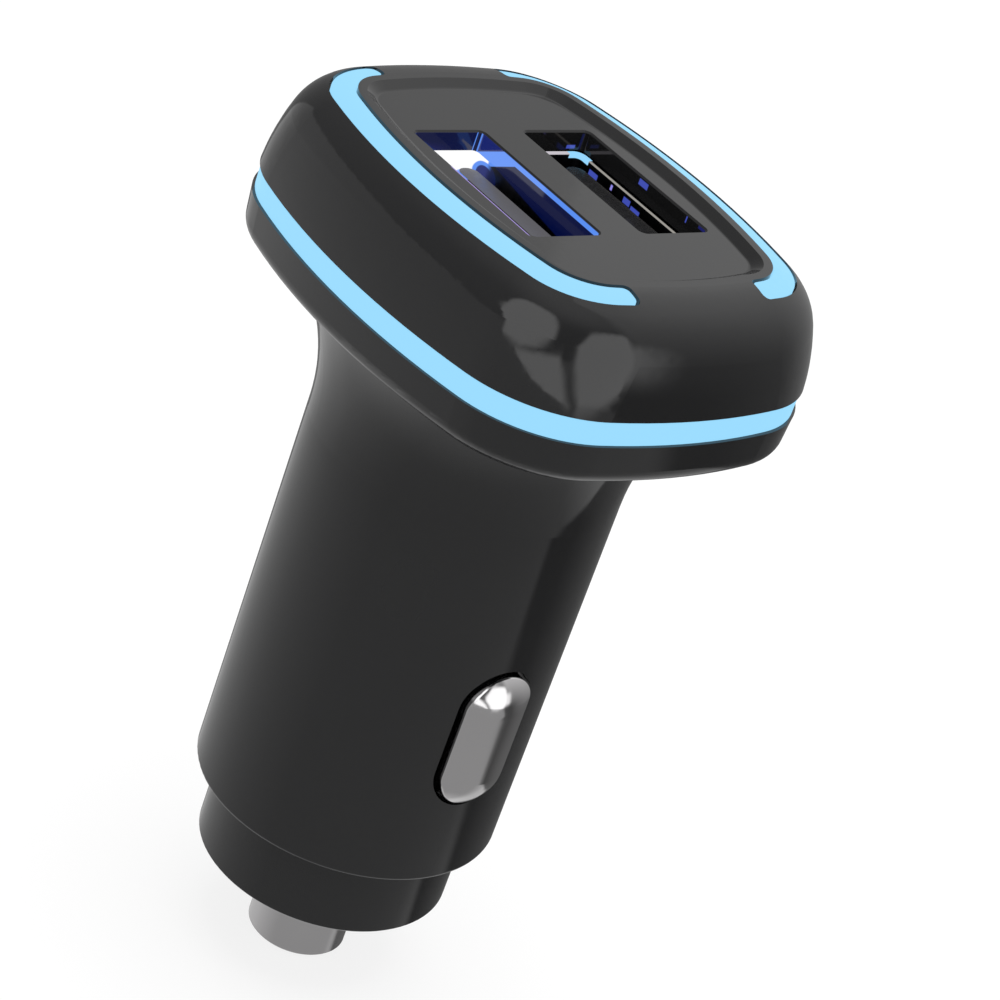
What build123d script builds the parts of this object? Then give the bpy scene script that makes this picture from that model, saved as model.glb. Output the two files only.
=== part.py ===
"""Plug-in vehicle charger with two sockets, a glowing band and sprung contacts.

Millimetres. The origin is on the plug's axis at the barrel's lower rim.
+Z runs up towards the head, and X crosses the two sockets' narrow sides.
"""

import math
import os

from build123d import *

# Barrel and neck
BARREL_R = 10.4
BARREL_WALL = 1.3
BARREL_LENGTH = 26.96
BARREL_RIM_FILLET = 0.3
NECK_RISE = 8.38
NECK_TOP_R = 12.84
NECK_WALL = 1.1
FIT_GAP = 0.05

# Nose
NOSE_STEP = 1.71
NOSE_LENGTH = 5.81
NOSE_COLLAR = 4.0
NOSE_FLOOR = 2.0
NOSE_CHAMFER = 0.14

# Head outline: half widths, then the radii of its side, end and corner arcs
HEAD_HALF_X = 14.13
HEAD_HALF_Y = 17.48
SIDE_ARC_R = 49.42
END_ARC_R = 39.92
CORNER_ARC_R = 7.87

# Flange and light band
FLANGE_HEIGHT = 2.89
FLANGE_FLOOR = 1.42
FLANGE_LEAN = 0.2
FLANGE_FILLET = 1.2
BAND_HEIGHT = 1.52
BAND_INSET = 2.0
BAND_STEP = 0.18
BAND_CHAMFER = 0.05

# Crown: its flank curves in from its foot, and a roll takes it over to the flat top
CROWN_GROOVE = 0.13
CROWN_HEIGHT = 6.49
CROWN_STEP = 0.05
CROWN_ROLL = 3.93
CROWN_FOOT_ANGLE_X = 6.9
CROWN_FOOT_ANGLE_Y = 0.8
CROWN_TOP_ANGLE_X = 26.2
CROWN_TOP_ANGLE_Y = 25.8
CROWN_SIDE_ARC_R = 47.9
CROWN_END_ARC_R = 42.3
CROWN_CORNER_R = 7.81
CAVITY_INSET = 3.22
SKIRT_DEPTH = 2.3
ROOF_THICKNESS = 1.35

# Sunken face and light strips
FACE_SINK = 0.43
RECESS_RIM = 5.02
RECESS_FOOT = 5.72
RECESS_FILLET = 0.45
STRIP_OUTER = 2.86
STRIP_INNER = 4.3
STRIP_END_X = 4.95
STRIP_END_FILLET = 0.45
STRIP_DEPTH = 1.0
STRIP_GAP = 0.13
STRIP_SINK = 0.12

# Sockets
PORT_PITCH = 8.58
PORT_WIDTH = 5.36
PORT_LENGTH = 12.6
PORT_CORNER = 0.4
PORT_CHAMFER = 0.12
SHELL_WALL = 0.3
SHELL_INSET = 0.03
SHELL_DROP_LEFT = 0.0
SHELL_DROP_RIGHT = 0.25
FINGER_WIDTH = 2.0
FINGER_LENGTH = 5.0
FINGER_SPACING = 6.2
FINGER_CUT = 0.35
FINGER_DEPTH = 2.6
TONGUE_THICKNESS = 1.84
TONGUE_LENGTH = 11.0
TONGUE_WALL_GAP = 0.44
TONGUE_SINK = 2.0
TONGUE_BASE = 2.4
TONGUE_FILLET = 0.85
TONGUE_CHAMFER = 0.22
TERMINAL_OFFSETS = (-3.5, -1.0, 1.0, 3.5)
TERMINAL_WIDTH = 1.0
TERMINAL_THICKNESS = 0.3
TERMINAL_STOP = 1.2

# Boards and what they carry
BOARD_THICKNESS = 1.2
BOARD_MARGIN = 0.28
BOARD_GAP = 0.1
MAIN_BOARD_WIDTH = 12.8
BORE_CLEARANCE = 0.5
INPUT_CAPACITOR_R = 3.1
OUTPUT_CAPACITOR_R = 2.5
CAPACITOR_APART = 6.1
CORE_R = 4.0
CORE_WAIST_R = 1.8
CORE_FLANGE = 0.9
WINDING_R = 3.7
WINDING_LENGTH = 2.6
LAMP_HEIGHT = 0.8

# Centre pin
PIN_R = 3.42
PIN_REACH = 6.58
PIN_CHAMFER = 0.12
PIN_HEAD_R = 5.2
PIN_HEAD = 1.2
PIN_HEAD_GAP = 0.4
PIN_BOSS_R = 2.2
PIN_BOSS = 1.4
PIN_GAP = 0.08
PIN_SPRING_R = 3.4
PIN_WIRE = 0.5
PIN_TURNS = 4
SEAT_THICKNESS = 0.8
SEAT_RIVET_R = 1.0

# Side contacts
CONTACT_Z = 11.44
CONTACT_HEIGHT = 9.95
CONTACT_WIDTH = 4.95
CONTACT_PROUD = 0.85
CONTACT_CREST_R = 4.6
CONTACT_DOME_R = 3.0
CONTACT_DOME_RISE = 1.1
CONTACT_FILLET = 0.15
CONTACT_FLANGE = 0.8
CONTACT_OVERLAP = 0.5
CONTACT_GAP = 0.08
WINDOW_GAP = 0.3
LEAF_HEIGHT = 7.6
LEAF_WIDTH = 3.0
LEAF_THICKNESS = 0.3

# Inner frame
FRAME_GAP = 0.15
FRAME_FLOOR = 1.4
FRAME_HALF_Y = 6.2
FRAME_WALL_Y = 3.0
FRAME_WALL = 1.0
FRAME_WALL_X = 11.0
FRAME_HEIGHT = 13.2
FRAME_LIP = 0.6
BOARD_SLOT = 0.7

# Radii that follow from the sizes above
BARREL_BORE_R = BARREL_R - BARREL_WALL
NOSE_R = BARREL_R - NOSE_STEP
NOSE_CHAMBER_R = PIN_HEAD_R + PIN_HEAD_GAP
NECK_FLARE = NECK_TOP_R - BARREL_R
NECK_ARC_R = (NECK_FLARE ** 2 + NECK_RISE ** 2) / (2 * NECK_FLARE)
SHELL_HALF_X = PORT_WIDTH / 2 - SHELL_INSET + SHELL_WALL
SHELL_HALF_Y = PORT_LENGTH / 2 - SHELL_INSET + SHELL_WALL
PORT_BOARD_R = math.hypot(PORT_PITCH / 2 + SHELL_HALF_X, SHELL_HALF_Y) + BOARD_MARGIN
WINDOW_HEIGHT = CONTACT_HEIGHT + 2 * WINDOW_GAP
WINDOW_WIDTH = CONTACT_WIDTH + 2 * WINDOW_GAP
CONTACT_REACH = BARREL_R + CONTACT_PROUD
CONTACT_BACK = math.sqrt(BARREL_BORE_R ** 2 - (WINDOW_WIDTH / 2 + CONTACT_OVERLAP) ** 2) - CONTACT_GAP
FRAME_R = BARREL_BORE_R - FRAME_GAP

# Heights that follow from the sizes above
CHAMBER_FLOOR = NOSE_FLOOR - NOSE_LENGTH
PIN_TIP = -NOSE_LENGTH - PIN_REACH
SEAT_BOTTOM = NOSE_COLLAR - SEAT_THICKNESS
FRAME_FLOOR_TOP = NOSE_COLLAR + FRAME_FLOOR
FRAME_TOP = NOSE_COLLAR + FRAME_HEIGHT
FLANGE_BOTTOM = BARREL_LENGTH + NECK_RISE
CAVITY_FLOOR = FLANGE_BOTTOM + FLANGE_FLOOR
BAND_BOTTOM = FLANGE_BOTTOM + FLANGE_HEIGHT
BAND_TOP = BAND_BOTTOM + BAND_HEIGHT
CROWN_FOOT = BAND_TOP + CROWN_GROOVE
HEAD_TOP = CROWN_FOOT + CROWN_HEIGHT
STRIP_SEAT = HEAD_TOP - STRIP_DEPTH
FACE_LEVEL = HEAD_TOP - FACE_SINK
CEILING = FACE_LEVEL - ROOF_THICKNESS
BOARD_FLARE = PORT_BOARD_R + BOARD_GAP + NECK_WALL - BARREL_R
PORT_BOARD_Z = BARREL_LENGTH + math.sqrt(NECK_ARC_R ** 2 - (NECK_ARC_R - BOARD_FLARE) ** 2)
PORT_BOARD_TOP = PORT_BOARD_Z + BOARD_THICKNESS
TONGUE_BASE_TOP = PORT_BOARD_TOP + TONGUE_BASE
TONGUE_SHIFT = (PORT_WIDTH - TONGUE_THICKNESS) / 2 - TONGUE_WALL_GAP
SUPPLY_Z = (FRAME_TOP + PORT_BOARD_Z) / 2


def arc_outline(half_x, half_y, side_r, end_r, corner_r, z):
    """Rounded outline face at height z, from eight arcs that meet in line."""
    side_c = Vector(half_x - side_r, 0)
    end_c = Vector(0, half_y - end_r)
    reach_side = side_r - corner_r
    reach_end = end_r - corner_r
    apart = (end_c - side_c).length
    along = (reach_side ** 2 - reach_end ** 2 + apart ** 2) / (2 * apart)
    across = math.sqrt(reach_side ** 2 - along ** 2)
    way = (end_c - side_c).normalized()
    corner_c = side_c + way * along + Vector(-way.Y, way.X) * across
    on_side = corner_c + (corner_c - side_c).normalized() * corner_r
    on_end = corner_c + (corner_c - end_c).normalized() * corner_r
    middle = ((on_side + on_end) * 0.5 - corner_c).normalized()
    on_corner = corner_c + middle * corner_r

    quarter = [(on_side, 1, 1), (on_end, -1, 1), (on_side, -1, -1), (on_end, 1, -1)]
    mids = [(0, half_y), (-half_x, 0), (0, -half_y), (half_x, 0)]
    edges = []
    for number, (point, sx, sy) in enumerate(quarter):
        other = on_end if point is on_side else on_side
        first = (point.X * sx, point.Y * sy, z)
        round_mid = (on_corner.X * sx, on_corner.Y * sy, z)
        second = (other.X * sx, other.Y * sy, z)
        following, next_sx, next_sy = quarter[(number + 1) % 4]
        third = (following.X * next_sx, following.Y * next_sy, z)
        edges.append(ThreePointArc(first, round_mid, second))
        edges.append(ThreePointArc(second, (*mids[number], z), third))
    return Face(Wire(edges))


def head_outline(inset, z):
    """The head's outline moved inward all round by inset."""
    return arc_outline(
        HEAD_HALF_X - inset,
        HEAD_HALF_Y - inset,
        SIDE_ARC_R - inset,
        END_ARC_R - inset,
        CORNER_ARC_R - inset,
        z,
    )


def head_prism(inset, low, high):
    """Upright block with the head's outline between two heights."""
    return extrude(head_outline(inset, low), high - low, dir=(0, 0, 1))


def disc(radius, low, high):
    """Round block on the plug's axis between two heights."""
    return Pos(0, 0, (low + high) / 2) * Cylinder(radius, high - low)


def block(x, y, low, size_x, size_y, high):
    """Rectangular block centred on x, y between two heights."""
    return Pos(x, y, (low + high) / 2) * Box(size_x, size_y, high - low)


def port_block(x, width, length, corner, low, high):
    """Upright block with rounded corners, at one socket."""
    sketch = Pos(x, 0, low) * RectangleRounded(width, length, corner)
    return extrude(sketch, high - low, dir=(0, 0, 1))


def edges_at(part, height):
    """Edges of a part that lie flat at one height."""
    return part.edges().filter_by_position(Axis.Z, height - 0.01, height + 0.01)


def flank_inset(foot_angle, top_angle, rise):
    """How far a flank that bends between two angles has come in from its foot at one rise."""
    foot = math.sin(math.radians(foot_angle))
    flank_r = CROWN_HEIGHT / (math.sin(math.radians(top_angle)) - foot)
    lean = math.asin(foot + rise / flank_r)
    return flank_r * (math.cos(math.radians(foot_angle)) - math.cos(lean))


def crown_section(share):
    """The crown's outline before its roll is made, at one share of its height."""
    rise = CROWN_HEIGHT * share
    foot_side = SIDE_ARC_R - CROWN_STEP
    foot_end = END_ARC_R - CROWN_STEP
    foot_corner = CORNER_ARC_R - CROWN_STEP
    return arc_outline(
        HEAD_HALF_X - CROWN_STEP - flank_inset(CROWN_FOOT_ANGLE_X, CROWN_TOP_ANGLE_X, rise),
        HEAD_HALF_Y - CROWN_STEP - flank_inset(CROWN_FOOT_ANGLE_Y, CROWN_TOP_ANGLE_Y, rise),
        foot_side + (CROWN_SIDE_ARC_R - foot_side) * share,
        foot_end + (CROWN_END_ARC_R - foot_end) * share,
        foot_corner + (CROWN_CORNER_R - foot_corner) * share,
        CROWN_FOOT + rise,
    )


def crown():
    """Solid crown of the head before it is hollowed."""
    body = loft([crown_section(0), crown_section(0.5), crown_section(1)])
    return fillet(edges_at(body, HEAD_TOP), CROWN_ROLL)


def face_recess():
    """Shallow sloping-sided sink in the top of the crown."""
    depth = HEAD_TOP - FACE_LEVEL
    slope = RECESS_FOOT - RECESS_RIM
    foot = head_outline(RECESS_FOOT, FACE_LEVEL)
    above = head_outline(RECESS_RIM - slope, HEAD_TOP + depth)
    return loft([foot, above], ruled=True)


def strip_plan(side, grow):
    """Upright block with the plan of one light strip, made larger by grow."""
    ring = head_prism(STRIP_OUTER - grow, STRIP_SEAT, HEAD_TOP + 1)
    ring -= head_prism(STRIP_INNER + grow, STRIP_SEAT - 1, HEAD_TOP + 2)
    near = STRIP_END_X - grow
    keep_width = HEAD_HALF_X - near
    keep = block(
        side * (near + keep_width / 2), 0, STRIP_SEAT - 1, keep_width, 2 * HEAD_HALF_Y, HEAD_TOP + 2
    )
    plan = ring & keep
    ends = plan.edges().filter_by(Axis.Z).filter_by_position(Axis.X, side * near - 0.05, side * near + 0.05)
    return fillet(ends, STRIP_END_FILLET)


def mouth_edges(cover):
    """Edges of the two apertures where they open in the sunken face."""
    reach_x = (PORT_PITCH + PORT_WIDTH) / 2 + PORT_CHAMFER
    reach_y = PORT_LENGTH / 2 + PORT_CHAMFER
    level = edges_at(cover, FACE_LEVEL)
    return level.filter_by_position(Axis.X, -reach_x, reach_x).filter_by_position(Axis.Y, -reach_y, reach_y)


def make_top_cover(crown_body):
    """Crown shell with the sunken face, two apertures, strip channels and a skirt."""
    cover = crown_body - face_recess()
    foot_edges = edges_at(cover, FACE_LEVEL)
    cover = fillet(foot_edges, RECESS_FILLET)
    cover += head_prism(BAND_INSET + FIT_GAP, BAND_TOP - SKIRT_DEPTH, CROWN_FOOT + 0.5)
    cover -= head_prism(CAVITY_INSET, BAND_TOP - SKIRT_DEPTH - 1, CEILING)
    for side in (-1, 1):
        x = side * PORT_PITCH / 2
        cover -= port_block(x, PORT_WIDTH, PORT_LENGTH, PORT_CORNER, CEILING - 1, HEAD_TOP + 1)
        cover -= strip_plan(side, STRIP_GAP)
    return chamfer(mouth_edges(cover), PORT_CHAMFER)


def make_light_strip(crown_body, side):
    """Light strip that fills one channel, a little below the crown's surface."""
    return strip_plan(side, 0) & (Pos(0, 0, -STRIP_SINK) * crown_body)


def make_light_band():
    """Ring of light guide between the cover and the flange."""
    ring = head_prism(BAND_STEP, BAND_BOTTOM, BAND_TOP)
    ring = chamfer(edges_at(ring, BAND_BOTTOM) + edges_at(ring, BAND_TOP), BAND_CHAMFER)
    return ring - head_prism(BAND_INSET, BAND_BOTTOM - 1, BAND_TOP + 1)


def neck_radius(z):
    """Outside radius of the neck at a height."""
    rise = z - BARREL_LENGTH
    return BARREL_R + NECK_ARC_R - math.sqrt(NECK_ARC_R ** 2 - rise ** 2)


def barrel_solid():
    """Barrel and flared neck as one turned solid."""
    top = FLANGE_BOTTOM + FLANGE_FLOOR / 2
    middle = (BARREL_LENGTH + top) / 2
    rim = (BARREL_R, 0)
    start = (BARREL_R, BARREL_LENGTH)
    flare = ThreePointArc(start, (neck_radius(middle), middle), (neck_radius(top), top))
    outline = [
        Line((0, 0), rim),
        Line(rim, start),
        flare,
        Line((neck_radius(top), top), (0, top)),
        Line((0, top), (0, 0)),
    ]
    profile = Plane.XZ * Face(Wire(outline))
    return revolve(profile, Axis.Z)


def flange_solid():
    """Lower half of the head, leaning in towards its rounded lower edge."""
    top = head_outline(0, BAND_BOTTOM)
    bottom = head_outline(FLANGE_LEAN, FLANGE_BOTTOM)
    body = loft([bottom, top], ruled=True)
    return fillet(edges_at(body, FLANGE_BOTTOM), FLANGE_FILLET)


def contact_slot(height, width, near, far):
    """Upright round-ended block on the -Y side, between two distances from the axis."""
    plane = Plane(origin=(0, -near, CONTACT_Z), x_dir=(0, 0, 1), z_dir=(0, -1, 0))
    return extrude(plane * SlotOverall(height, width), far - near, dir=(0, -1, 0))


def make_barrel_housing():
    """Barrel, neck and flange in one hollow moulding with two contact windows."""
    body = barrel_solid()
    body = fillet(edges_at(body, 0), BARREL_RIM_FILLET)
    body += flange_solid()
    body -= disc(BARREL_BORE_R, -1, PORT_BOARD_Z + 0.5)
    body -= disc(PORT_BOARD_R + BOARD_GAP, PORT_BOARD_Z, CAVITY_FLOOR + 0.5)
    body -= head_prism(BAND_INSET, CAVITY_FLOOR, BAND_BOTTOM + 1)
    window = contact_slot(WINDOW_HEIGHT, WINDOW_WIDTH, BARREL_BORE_R - 2, BARREL_R + 2)
    body -= window
    body -= Rot(0, 0, 180) * window
    return body


def make_nose_cap():
    """Nose with the chamber that holds the pin's head and spring."""
    body = disc(NOSE_R, -NOSE_LENGTH, 0)
    body = chamfer(edges_at(body, -NOSE_LENGTH), NOSE_CHAMFER)
    body += disc(BARREL_BORE_R - FIT_GAP, 0, NOSE_COLLAR)
    body -= disc(NOSE_CHAMBER_R, CHAMBER_FLOOR, NOSE_COLLAR + 1)
    body -= disc(PIN_R + PIN_GAP, -NOSE_LENGTH - 1, CHAMBER_FLOOR + 1)
    return body


def make_centre_pin():
    """Sprung pin with a head that rests on the chamber's floor."""
    pin = disc(PIN_R, PIN_TIP, CHAMBER_FLOOR + 0.5)
    pin = chamfer(edges_at(pin, PIN_TIP), PIN_CHAMFER)
    head_top = CHAMBER_FLOOR + PIN_HEAD
    pin += disc(PIN_HEAD_R, CHAMBER_FLOOR, head_top)
    return pin + disc(PIN_BOSS_R, head_top - 0.2, head_top + PIN_BOSS)


def make_pin_spring():
    """Square-wire coil between the pin's head and the spring seat."""
    low = CHAMBER_FLOOR + PIN_HEAD
    rise = SEAT_BOTTOM - low - PIN_WIRE
    path = Helix(pitch=rise / PIN_TURNS, height=rise, radius=PIN_SPRING_R)
    section = Plane(origin=path @ 0, x_dir=(1, 0, 0), z_dir=path % 0) * Rectangle(PIN_WIRE, PIN_WIRE)
    return Pos(0, 0, low + PIN_WIRE / 2) * sweep(section, path=path, is_frenet=True)


def make_spring_seat():
    """Metal disc that takes the pin's current, riveted through the frame's floor."""
    seat = disc(PIN_HEAD_R, SEAT_BOTTOM, NOSE_COLLAR)
    return seat + disc(SEAT_RIVET_R, NOSE_COLLAR - 0.2, FRAME_FLOOR_TOP - BOARD_SLOT)


def make_side_contact(turn):
    """Round-ended side contact with a flange behind the barrel's wall."""
    button = contact_slot(CONTACT_HEIGHT, CONTACT_WIDTH, CONTACT_BACK, CONTACT_REACH)
    crest = Cylinder(CONTACT_CREST_R, CONTACT_HEIGHT + 2 * CONTACT_DOME_RISE)
    crest = fillet(crest.edges().filter_by(GeomType.CIRCLE), CONTACT_DOME_R)
    button &= Pos(0, CONTACT_CREST_R - CONTACT_REACH, CONTACT_Z) * crest
    halfway = -(CONTACT_BACK + CONTACT_REACH) / 2
    front = button.edges().filter_by_position(Axis.Y, -CONTACT_REACH - 1, halfway)
    button = fillet(front.filter_by(GeomType.CIRCLE, reverse=True), CONTACT_FILLET)
    flange_height = WINDOW_HEIGHT + 2 * CONTACT_OVERLAP
    flange_width = WINDOW_WIDTH + 2 * CONTACT_OVERLAP
    flange = contact_slot(flange_height, flange_width, CONTACT_BACK - CONTACT_FLANGE, CONTACT_BACK)
    return Rot(0, 0, turn) * (button + flange)


def make_contact_leaf(turn):
    """Bowed leaf spring between the frame's wall and one side contact."""
    foot = -(FRAME_WALL_Y + FRAME_WALL)
    crest = -(CONTACT_BACK - CONTACT_FLANGE)
    low = CONTACT_Z - LEAF_HEIGHT / 2
    high = CONTACT_Z + LEAF_HEIGHT / 2
    outer = ThreePointArc((foot, low), (crest, CONTACT_Z), (foot, high))
    inner_low = low + 1.15 * LEAF_THICKNESS
    inner_high = high - 1.15 * LEAF_THICKNESS
    inner = ThreePointArc((foot, inner_high), (crest + LEAF_THICKNESS, CONTACT_Z), (foot, inner_low))
    ends = [Line((foot, high), (foot, inner_high)), Line((foot, inner_low), (foot, low))]
    profile = Face(Wire([outer, ends[0], inner, ends[1]]))
    side_plane = Plane(origin=(-LEAF_WIDTH / 2, 0, 0), x_dir=(0, 1, 0), z_dir=(1, 0, 0))
    return Rot(0, 0, turn) * extrude(side_plane * profile, LEAF_WIDTH, dir=(1, 0, 0))


def make_inner_frame():
    """Frame that stands on the nose's collar and backs the contacts' leaf springs."""
    floor = disc(FRAME_R, NOSE_COLLAR, FRAME_FLOOR_TOP)
    frame = floor & block(0, 0, NOSE_COLLAR - 1, 3 * FRAME_R, 2 * FRAME_HALF_Y, FRAME_FLOOR_TOP + 1)
    for side in (-1, 1):
        wall_y = side * (FRAME_WALL_Y + FRAME_WALL / 2)
        frame += block(0, wall_y, NOSE_COLLAR + 0.2, FRAME_WALL_X, FRAME_WALL, FRAME_TOP)
        lip_y = side * (FRAME_WALL_Y + FRAME_WALL + FRAME_LIP / 3)
        for end in (-1, 1):
            lip_near = CONTACT_Z + end * (LEAF_HEIGHT / 2 + BOARD_GAP)
            lip_far = lip_near + end * FRAME_LIP
            low, high = sorted((lip_near, lip_far))
            frame += block(0, lip_y, low, LEAF_WIDTH, 4 * FRAME_LIP / 3, high)
    slot_floor = FRAME_FLOOR_TOP - BOARD_SLOT
    slot_width = MAIN_BOARD_WIDTH + 2 * BOARD_GAP
    frame -= block(0, 0, slot_floor, slot_width, BOARD_THICKNESS + BOARD_GAP, FRAME_FLOOR_TOP + 1)
    frame -= disc(SEAT_RIVET_R + FIT_GAP, NOSE_COLLAR - 1, slot_floor + 0.5)
    return frame


def make_main_board():
    """Upright circuit board from the frame's slot to the port board."""
    return block(0, 0, FRAME_FLOOR_TOP - BOARD_SLOT, MAIN_BOARD_WIDTH, BOARD_THICKNESS, PORT_BOARD_Z)


def make_port_board():
    """Round circuit board that carries the sockets and lamps."""
    return disc(PORT_BOARD_R, PORT_BOARD_Z, PORT_BOARD_TOP)


def on_board(x, z, radius, height, side):
    """Round part that stands on one face of the main board."""
    y = side * (BOARD_THICKNESS / 2 + height / 2)
    return Pos(x, y, z) * Rot(90, 0, 0) * Cylinder(radius, height)


def chip(x, z, size_x, height, size_z, side):
    """Flat component on one face of the main board."""
    y = side * (BOARD_THICKNESS / 2 + height / 2)
    return Pos(x, y, z) * Box(size_x, height, size_z)


def make_capacitor(x, z, radius):
    """Can capacitor with a bevelled top edge, as tall as the bore allows."""
    top = math.sqrt((BARREL_BORE_R - BORE_CLEARANCE) ** 2 - (abs(x) + radius) ** 2)
    can = on_board(x, z, radius, top - BOARD_THICKNESS / 2, 1)
    return chamfer(can.edges().filter_by_position(Axis.Y, top - 0.01, top + 0.01), 0.4)


def make_inductor_core(z):
    """Drum core with two flanges, on the main board's other face."""
    flange = on_board(0, z, CORE_R, CORE_FLANGE, -1)
    waist = on_board(0, z, CORE_WAIST_R, 2 * CORE_FLANGE + WINDING_LENGTH, -1)
    return flange + waist + Pos(0, -CORE_FLANGE - WINDING_LENGTH, 0) * flange


def make_inductor_winding(z):
    """Wound copper between the drum core's flanges."""
    ring = Cylinder(WINDING_R, WINDING_LENGTH) - Cylinder(CORE_WAIST_R, 2 * WINDING_LENGTH)
    middle = BOARD_THICKNESS / 2 + CORE_FLANGE + WINDING_LENGTH / 2
    return Pos(0, -middle, z) * Rot(90, 0, 0) * ring


def finger_cuts(x, mouth):
    """U-shaped cuts that free two spring fingers in each wide wall of a sleeve."""
    top = mouth - FINGER_DEPTH
    low = top - FINGER_LENGTH
    wide = FINGER_WIDTH + 2 * FINGER_CUT
    cuts = []
    for side in (-1, 1):
        y = side * FINGER_SPACING / 2
        window = block(x, y, low - FINGER_CUT, 4 * SHELL_HALF_X, wide, top)
        cuts.append(window - block(x, y, low, 5 * SHELL_HALF_X, FINGER_WIDTH, top + 1))
    return cuts


def make_usb_shell(side, drop):
    """Metal sleeve that lines one socket, with spring fingers cut in its wide walls."""
    x = side * PORT_PITCH / 2
    mouth = CEILING - drop
    width = PORT_WIDTH - 2 * SHELL_INSET
    length = PORT_LENGTH - 2 * SHELL_INSET
    corner = PORT_CORNER + SHELL_WALL
    shell = port_block(x, 2 * SHELL_HALF_X, 2 * SHELL_HALF_Y, corner, PORT_BOARD_TOP, mouth)
    shell -= port_block(x, width, length, PORT_CORNER, PORT_BOARD_TOP - 1, CEILING + 1)
    for cut in finger_cuts(x, mouth):
        shell -= cut
    return shell


def make_usb_tongue(side):
    """Insulating tongue on its base, off centre, with round sides and a bevelled mouth end."""
    x = side * PORT_PITCH / 2
    top = FACE_LEVEL - TONGUE_SINK
    slack = 2 * (SHELL_INSET + FIT_GAP)
    base = port_block(
        x, PORT_WIDTH - slack, PORT_LENGTH - slack, PORT_CORNER, PORT_BOARD_TOP, TONGUE_BASE_TOP
    )
    tongue = block(x + TONGUE_SHIFT, 0, TONGUE_BASE_TOP - 0.5, TONGUE_THICKNESS, TONGUE_LENGTH, top)
    tongue = fillet(tongue.edges().filter_by(Axis.Z), TONGUE_FILLET)
    tongue = chamfer(edges_at(tongue, top), TONGUE_CHAMFER)
    return base + tongue


def make_usb_terminal(side, offset):
    """One spring strip on the tongue's face towards the wide side of the socket."""
    x = side * PORT_PITCH / 2 + TONGUE_SHIFT - (TONGUE_THICKNESS + TERMINAL_THICKNESS) / 2
    top = FACE_LEVEL - TONGUE_SINK - TERMINAL_STOP
    return block(x, offset, TONGUE_BASE_TOP, TERMINAL_THICKNESS, TERMINAL_WIDTH, top)


def make_lamp(side):
    """Small lamp on the port board that feeds the light guides."""
    y = side * (SHELL_HALF_Y + PORT_BOARD_R) / 2
    return block(0, y, PORT_BOARD_TOP, 2.0, 1.4, PORT_BOARD_TOP + LAMP_HEIGHT)


def build_parts():
    """Every piece of the charger by its name."""
    crown_body = crown()
    parts = {
        "top_cover": make_top_cover(crown_body),
        "light_band": make_light_band(),
        "light_strip_left": make_light_strip(crown_body, -1),
        "light_strip_right": make_light_strip(crown_body, 1),
        "barrel_housing": make_barrel_housing(),
        "nose_cap": make_nose_cap(),
        "centre_pin": make_centre_pin(),
        "pin_spring": make_pin_spring(),
        "spring_seat": make_spring_seat(),
        "side_contact_front": make_side_contact(0),
        "side_contact_rear": make_side_contact(180),
        "contact_leaf_front": make_contact_leaf(0),
        "contact_leaf_rear": make_contact_leaf(180),
        "inner_frame": make_inner_frame(),
        "main_board": make_main_board(),
        "port_board": make_port_board(),
        "input_capacitor": make_capacitor(-CAPACITOR_APART / 2, SUPPLY_Z, INPUT_CAPACITOR_R),
        "output_capacitor": make_capacitor(CAPACITOR_APART / 2, SUPPLY_Z, OUTPUT_CAPACITOR_R),
        "inductor_core": make_inductor_core(SUPPLY_Z),
        "inductor_winding": make_inductor_winding(SUPPLY_Z),
        "controller_chip": chip(0, CONTACT_Z, 5.0, 1.5, 4.4, 1),
        "rectifier": chip(0, CONTACT_Z, 4.4, 2.1, 2.8, -1),
        "fuse": chip(0, PORT_BOARD_Z - 2.5, 4.5, 1.2, 3.0, 1),
        "lamp_front": make_lamp(-1),
        "lamp_rear": make_lamp(1),
    }
    for name, side, drop in (("left", -1, SHELL_DROP_LEFT), ("right", 1, SHELL_DROP_RIGHT)):
        parts["usb_shell_" + name] = make_usb_shell(side, drop)
        parts["usb_tongue_" + name] = make_usb_tongue(side)
        for number, offset in enumerate(TERMINAL_OFFSETS, start=1):
            parts[f"usb_terminal_{name}_{number}"] = make_usb_terminal(side, offset)
    return parts


def main():
    """Write each piece to its own STEP file."""
    os.makedirs("parts", exist_ok=True)
    for name, part in build_parts().items():
        export_step(part, f"parts/{name}.step")


main()
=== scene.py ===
"""Looks of the twin-socket vehicle charger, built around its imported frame."""
import math

import bmesh
import bpy
from mathutils import Matrix, Vector


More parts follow.
